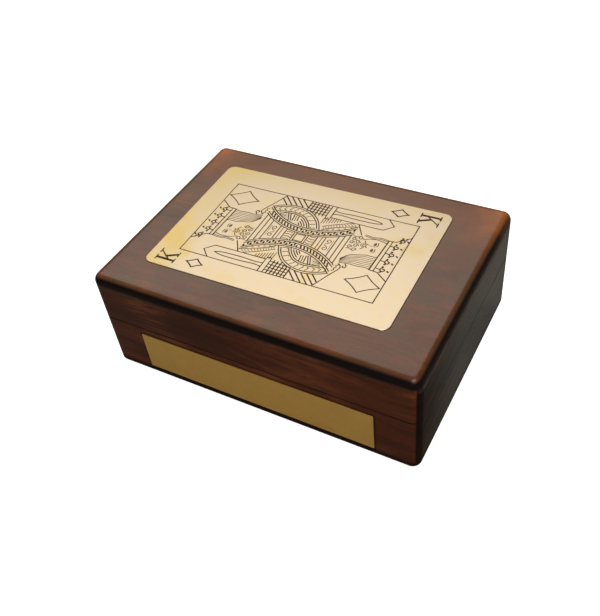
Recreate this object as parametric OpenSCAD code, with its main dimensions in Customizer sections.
// Hinged hardwood case for poker chips and a deck of cards.
// Millimetres, +Z up. The origin is on the surface the case stands on, under its middle.
// The front, with the nameplate, faces -Y, and the hinges are at the back.

/* [Case] */
// Width of the case, left to right
case_w = 178; // [174:1:210]
// Depth of the wooden case, front to back
case_d = 127; // [122:1:150]
// Height of the closed wooden case
case_h = 63; // [61:0.5:72]
// Height of the base walls, up to the seam
base_h = 35; // [33:0.5:40]
// Thickness of the walls
wall_t = 8; // [7.5:0.5:8.5]
// Thickness of the lid's top board
top_t = 8; // [6:0.5:9]
// Thickness of the bottom panel
panel_t = 4; // [3:0.5:5]
// Gap between the lid and the base when the case is closed
seam_gap = 0.3; // [0.2:0.05:0.5]

/* [Rounded edges] */
// Radius along the lid's top edges
top_r = 4.5; // [3:0.5:4.5]
// Radius along the base's bottom edges
bottom_r = 2.8; // [0.8:0.2:2.8]
// Radius of the upright corners
corner_r = 4.8; // [4.8:0.4:6.8]

/* [Brass plates] */
// Length of the playing-card plate, along the lid
card_w = 134.4; // [110:0.2:140]
// Width of the playing-card plate
card_d = 88.4; // [70:0.2:92]
// Corner radius of the playing-card plate
card_r = 4.4; // [2:0.2:8]
// Thickness of the playing-card plate
card_t = 1.1; // [0.8:0.1:1.6]
// How far the playing-card plate is let into the lid
card_let_in = 0.6; // [0.3:0.1:0.7]
// How far the plate sits left of the lid's middle
card_left = 3.4; // [0:0.2:5]
// How far the plate sits behind the lid's middle
card_back = 2; // [0:0.2:3]
// How far the plate is turned on the lid, in degrees
card_turn = 0.87; // [0:0.01:1.5]
// Length of the nameplate
name_w = 131.8; // [80:0.2:140]
// Height of the nameplate
name_h = 24.4; // [15:0.2:25]
// Height of the nameplate's lower edge above the bottom of the wood
name_up = 6.2; // [4:0.2:7]
// How far the nameplate sits right of the middle
name_right = 1; // [0:0.2:3]
// Thickness of the nameplate
name_t = 0.5; // [0.4:0.1:0.8]

/* [Inside] */
// Diameter of a poker chip
chip_d = 39; // [37:0.5:39]
// Distance between the two rows of chips
chip_pitch = 44; // [43.6:0.2:45]
// Width of the block that holds the chips
rack_w = 90; // [88:1:91]
// Height of the block above the bottom panel
rack_h = 20.5; // [16:0.5:22]
// Thickness of the divider between the chips and the cards
divider_t = 3; // [2.5:0.5:4]
// Thickness of the felt in the chip rows and the card well
liner_t = 0.6; // [0.5:0.1:1]
// Thickness of the felt under the case and inside the lid
felt_t = 1; // [0.8:0.1:1.2]

/* [Hinges] */
// Distance of each hinge from the middle of the case
hinge_x = 50; // [35:1:60]
// Length of each hinge
hinge_len = 25; // [22:1:30]
// Outer radius of the barrel
barrel_r = 1.7; // [1.6:0.05:1.8]
// Radius of the pin
pin_r = 0.8; // [0.7:0.05:0.9]
// Depth of the pin's axis inside the back of the case
axis_in = 1.2; // [1.1:0.05:1.3]
// Angle at which the lid comes to rest on its stop
lid_open = 95; // [90:1:96]

/* [Hidden] */
$fn = 64;

rosewood = [0.27, 0.14, 0.09];
brass = [0.86, 0.73, 0.42];
dull_brass = [0.56, 0.45, 0.24];
baize = [0.08, 0.25, 0.14];

wood_z = felt_t;                    // bottom of the wood
seam_z = wood_z + base_h;           // middle of the gap between lid and base
top_z = wood_z + case_h;            // top of the wood
floor_z = wood_z + panel_t;         // top of the bottom panel
inner_w = case_w - 2 * wall_t;
inner_d = case_d - 2 * wall_t;
rebate = wall_t / 2;                // how far the bottom panel reaches into the walls
felt_inset = 3;                     // the felt under the case stays this far inside its edges
liner_gap = 0.4;                    // felt is cut this much short of the walls
felt_ease = 0.02;                   // between the bent felt and the wood under it
plate_gap = 0.25;                   // between the playing-card plate and its recess
name_r = 0.6;                       // corner radius of the nameplate
cut = 1;                            // overrun of a cut past the face that it opens
shell_far = 20;                     // a mitre cut reaches this far in from the outside

chip_play = 0.6;                    // between a chip and the felt
groove_r = chip_d / 2 + chip_play + liner_t;
groove_floor = 2.5;                 // wood under each chip row
groove_z = floor_z + groove_floor + groove_r;
rack_x = inner_w / 2 - rack_w / 2;  // middle of the block
divider_x = inner_w / 2 - rack_w - divider_t / 2;
well_w = inner_w - rack_w - divider_t;
well_x = divider_x - divider_t / 2 - well_w / 2;
divider_below = 2;                  // from the divider's top up to the seam
divider_h = base_h - panel_t - divider_below;

axis_y = case_d / 2 - axis_in;
leaf_t = 1;
leaf_reach = wall_t - axis_in;      // the leaf ends flush with the inside of the wall
knuckle_gap = 0.3;
barrel_room = 0.3;                  // between the barrel and the wood or the other leaf
knuckle_len = (hinge_len - 2 * knuckle_gap) / 3;
pin_head_r = 1.2;
pin_head_t = 0.5;
tight_play = 0.02;                  // round the pin in the base leaf's knuckles
turning_play = 0.06;                // round the pin in the lid leaf's knuckle
lid_bevel = 76;                     // the lid's stop bevel, from the seam
base_bevel = lid_open + 2 - lid_bevel;
screw_r = 0.9;
screw_len = 8;
screw_head_r = 1.7;
screw_head_t = 0.8;
screw_tip = 1.5;
screw_tip_r = 0.2;
screw_slot_w = 0.4;
screw_slot_h = 0.35;
screw_play = 0.1;                   // between a screw and its leaf, and half of it in the wood
screw_y = -(barrel_r + barrel_room + leaf_reach) / 2;
screw_x = hinge_len / 2 - 5;

// A rectangle of size w by d about the origin with round corners
module round_rect(w, d, r) {
    square([w - 2 * r, d], center = true);
    square([w, d - 2 * r], center = true);
    for (x = [-1, 1], y = [-1, 1])
        translate([x * (w / 2 - r), y * (d / 2 - r)]) circle(r);
}

// A cross-section of the case, w wide, standing on the x axis
module case_section(w) {
    for (x = [-1, 1]) {
        translate([x * (w / 2 - bottom_r), bottom_r]) circle(bottom_r);
        translate([x * (w / 2 - top_r), case_h - top_r]) circle(top_r);
    }
    translate([0, case_h / 2]) square([w - 2 * top_r, case_h], center = true);
    translate([-w / 2, bottom_r]) square([w, case_h - top_r - bottom_r]);
    translate([-w / 2 + bottom_r, 0]) square([w - 2 * bottom_r, case_h / 2]);
}

// An upright corner of the case, round and with rounded ends
module corner_post() {
    rotate_extrude() intersection() {
        case_section(2 * corner_r);
        square([corner_r, case_h]);
    }
}

// The outside of the whole closed case, as one block
module case_block() {
    translate([0, 0, wood_z]) {
        rotate([90, 0, 0])
            linear_extrude(case_d - 2 * corner_r, center = true) case_section(case_w);
        rotate([90, 0, 90])
            linear_extrude(case_w - 2 * corner_r, center = true) case_section(case_d);
        for (x = [-1, 1], y = [-1, 1])
            translate([x * (case_w / 2 - corner_r), y * (case_d / 2 - corner_r), 0])
                corner_post();
    }
}

// The part of the case block between two heights
module case_slice(low, high) {
    intersection() {
        case_block();
        translate([-case_w, -case_d, low]) cube([2 * case_w, 2 * case_d, high - low]);
    }
}

// The space between the mitres of one wall: "along" is its length, "across" the other side
module mitre_room(along, across) {
    linear_extrude(2 * top_z) polygon([
        [-along / 2 - cut, -across / 2 - cut],
        [along / 2 + cut, -across / 2 - cut],
        [along / 2 - shell_far, -across / 2 + shell_far],
        [-along / 2 + shell_far, -across / 2 + shell_far]
    ]);
}

// One mitred wall between two heights: turn is 0 front, 90 right, 180 back, 270 left
module wall(turn, low, high) {
    ends = turn % 180 == 0 ? [case_w, case_d] : [case_d, case_w];
    difference() {
        intersection() {
            case_slice(low, high);
            rotate(turn) mitre_room(ends[0], ends[1]);
        }
        translate([-inner_w / 2, -inner_d / 2, 0]) cube([inner_w, inner_d, 2 * top_z]);
    }
}

module base_wall(turn) {
    difference() {
        wall(turn, 0, seam_z - seam_gap / 2);
        translate([0, 0, floor_z / 2])
            cube([inner_w + 2 * rebate, inner_d + 2 * rebate, floor_z], center = true);
    }
}

module lid_wall(turn) {
    wall(turn, seam_z + seam_gap / 2, top_z - top_t);
}

// Puts its children at both hinges, with the pin's axis along x
module at_hinge(side) {
    translate([side * hinge_x, axis_y, seam_z]) children();
}

// A round bar along x
module bar(r, len) {
    rotate([0, 90, 0]) cylinder(r = r, h = len, center = true);
}

module screw_places() {
    for (x = [-screw_x, screw_x]) translate([x, screw_y, 0]) children();
}

// A countersunk hole through a leaf, open below
module screw_hole() {
    translate([0, 0, seam_gap / 2]) {
        cylinder(r = screw_r + screw_play, h = leaf_t + cut);
        cylinder(r1 = screw_head_r + screw_play / 2, r2 = screw_r + screw_play, h = screw_head_t);
    }
}

// The end view of a leaf's plate, lying just above the axis and stopping short of it by "short"
module plate_section(short) {
    translate([-leaf_reach, seam_gap / 2]) square([leaf_reach - short, leaf_t]);
}

// The end view of a plate with its knuckle
module knuckle_section(play) {
    difference() {
        union() {
            plate_section(0);
            circle(barrel_r);
        }
        circle(pin_r + play);
    }
}

// Stretches an end view along x between two places on the hinge
module along_hinge(from, to) {
    translate([from, 0, 0]) rotate([90, 0, 90]) linear_extrude(to - from) children();
}

// A leaf with knuckles in the given places, 0 left, 1 middle, 2 right
module leaf(own, play) {
    pitch = knuckle_len + knuckle_gap;
    difference() {
        union() {
            along_hinge(-hinge_len / 2, hinge_len / 2) plate_section(barrel_r + barrel_room);
            for (k = own) along_hinge(k * pitch - hinge_len / 2, k * pitch - hinge_len / 2 + knuckle_len)
                knuckle_section(play);
        }
        screw_places() screw_hole();
    }
}

module hinge_pin() {
    bar(pin_r, hinge_len);
    for (x = [-1, 1]) translate([x * (hinge_len + pin_head_t) / 2, 0, 0])
        bar(pin_head_r, pin_head_t);
}

// A countersunk wood screw that points up, its slotted head just above the axis
module screw() {
    difference() {
        translate([0, 0, seam_gap / 2]) {
            cylinder(r1 = screw_head_r, r2 = screw_r, h = screw_head_t);
            cylinder(r = screw_r, h = screw_len - screw_tip);
            translate([0, 0, screw_len - screw_tip])
                cylinder(r1 = screw_r, r2 = screw_tip_r, h = screw_tip);
        }
        translate([0, 0, seam_gap / 2])
            cube([2 * screw_head_r + cut, screw_slot_w, 2 * screw_slot_h], center = true);
    }
}

// The wood cut away for one hinge in the back wall above the axis
module hinge_mortise() {
    bar(barrel_r + barrel_room, hinge_len + 4 * pin_head_t);
    translate([-hinge_len / 2, -leaf_reach - cut, 0])
        cube([hinge_len, leaf_reach + cut, leaf_t + seam_gap / 2]);
    screw_places() cylinder(r = screw_r + screw_play / 2, h = screw_len + cut);
}

// The bevel along the back of the seam on which the open lid stops
module stop_bevel(angle) {
    reach = axis_in + cut;
    translate([0, axis_y, seam_z]) rotate([90, 0, 90])
        linear_extrude(case_w + 2 * cut, center = true)
            polygon([[0, 0], [reach, 0], [reach, reach * tan(angle)]]);
}

// The same below the seam as its children are above it
module below() {
    translate([0, 0, seam_z]) mirror([0, 0, 1]) translate([0, 0, -seam_z]) children();
}

module groove_places() {
    for (x = [-1, 1]) translate([rack_x + x * chip_pitch / 2, 0, groove_z]) children();
}

// The felt in one chip row: a bent strip that stops at the top of the block
module groove_felt(side) {
    len = inner_d - 2 * liner_gap;
    color(baize) intersection() {
        translate([rack_x + side * chip_pitch / 2, 0, groove_z]) rotate([90, 0, 0])
            difference() {
                cylinder(r = groove_r - felt_ease, h = len, center = true);
                cylinder(r = groove_r - liner_t, h = len + 2 * cut, center = true);
            }
        translate([-inner_w / 2, -inner_d / 2, 0])
            cube([inner_w, inner_d, floor_z + rack_h]);
    }
}

module card_blank(grow, t) {
    translate([-card_left, card_back, top_z - card_let_in]) rotate(card_turn)
        linear_extrude(t) round_rect(card_w + 2 * grow, card_d + 2 * grow, card_r + grow);
}

module base_front_wall() {
    color(rosewood) base_wall(0);
}

module base_back_wall() {
    color(rosewood) difference() {
        base_wall(180);
        below() {
            stop_bevel(base_bevel);
            for (side = [-1, 1]) at_hinge(side) hinge_mortise();
        }
    }
}

module base_left_wall() {
    color(rosewood) difference() {
        base_wall(270);
        below() stop_bevel(base_bevel);
    }
}

module base_right_wall() {
    color(rosewood) difference() {
        base_wall(90);
        below() stop_bevel(base_bevel);
    }
}

module base_bottom_panel() {
    color(rosewood) translate([0, 0, wood_z + panel_t / 2])
        cube([inner_w + 2 * rebate, inner_d + 2 * rebate, panel_t], center = true);
}

module base_felt() {
    color(baize) linear_extrude(felt_t)
        round_rect(case_w - 2 * felt_inset, case_d - 2 * felt_inset, corner_r);
}

module nameplate() {
    color(dull_brass) translate([name_right, -case_d / 2, wood_z + name_up + name_h / 2])
        rotate([90, 0, 0]) linear_extrude(name_t) round_rect(name_w, name_h, name_r);
}

module chip_rack() {
    color(rosewood) difference() {
        translate([rack_x, 0, floor_z + rack_h / 2])
            cube([rack_w, inner_d, rack_h], center = true);
        groove_places() rotate([90, 0, 0])
            cylinder(r = groove_r, h = inner_d + 2 * cut, center = true);
    }
}

module divider() {
    color(rosewood) translate([divider_x, 0, floor_z + divider_h / 2])
        cube([divider_t, inner_d, divider_h], center = true);
}

module card_well_felt() {
    color(baize) translate([well_x, 0, floor_z + liner_t / 2])
        cube([well_w - 2 * liner_gap, inner_d - 2 * liner_gap, liner_t], center = true);
}

module left_groove_felt() {
    groove_felt(-1);
}

module right_groove_felt() {
    groove_felt(1);
}

module left_hinge_base_leaf() {
    color(brass) below() at_hinge(-1) leaf([0, 2], tight_play);
}

module right_hinge_base_leaf() {
    color(brass) below() at_hinge(1) leaf([0, 2], tight_play);
}

module left_hinge_pin() {
    color(brass) at_hinge(-1) hinge_pin();
}

module right_hinge_pin() {
    color(brass) at_hinge(1) hinge_pin();
}

module hinge_base_screws() {
    color(brass) below() for (side = [-1, 1]) at_hinge(side) screw_places() screw();
}

module lid_top_board() {
    color(rosewood) difference() {
        case_slice(top_z - top_t, top_z);
        card_blank(plate_gap, card_t);
    }
}

module lid_front_wall() {
    color(rosewood) lid_wall(0);
}

module lid_back_wall() {
    color(rosewood) difference() {
        lid_wall(180);
        stop_bevel(lid_bevel);
        for (side = [-1, 1]) at_hinge(side) hinge_mortise();
    }
}

module lid_left_wall() {
    color(rosewood) difference() {
        lid_wall(270);
        stop_bevel(lid_bevel);
    }
}

module lid_right_wall() {
    color(rosewood) difference() {
        lid_wall(90);
        stop_bevel(lid_bevel);
    }
}

module card_plate() {
    color(brass) card_blank(0, card_t);
}

module lid_lining() {
    color(baize) translate([0, 0, top_z - top_t - felt_t / 2])
        cube([inner_w - 2 * liner_gap, inner_d - 2 * liner_gap, felt_t], center = true);
}

module left_hinge_lid_leaf() {
    color(brass) at_hinge(-1) leaf([1], turning_play);
}

module right_hinge_lid_leaf() {
    color(brass) at_hinge(1) leaf([1], turning_play);
}

module hinge_lid_screws() {
    color(brass) for (side = [-1, 1]) at_hinge(side) screw_places() screw();
}

base_front_wall();
base_back_wall();
base_left_wall();
base_right_wall();
base_bottom_panel();
base_felt();
nameplate();
chip_rack();
divider();
card_well_felt();
left_groove_felt();
right_groove_felt();
left_hinge_base_leaf();
right_hinge_base_leaf();
left_hinge_pin();
right_hinge_pin();
hinge_base_screws();
lid_top_board();
lid_front_wall();
lid_back_wall();
lid_left_wall();
lid_right_wall();
card_plate();
lid_lining();
left_hinge_lid_leaf();
right_hinge_lid_leaf();
hinge_lid_screws();
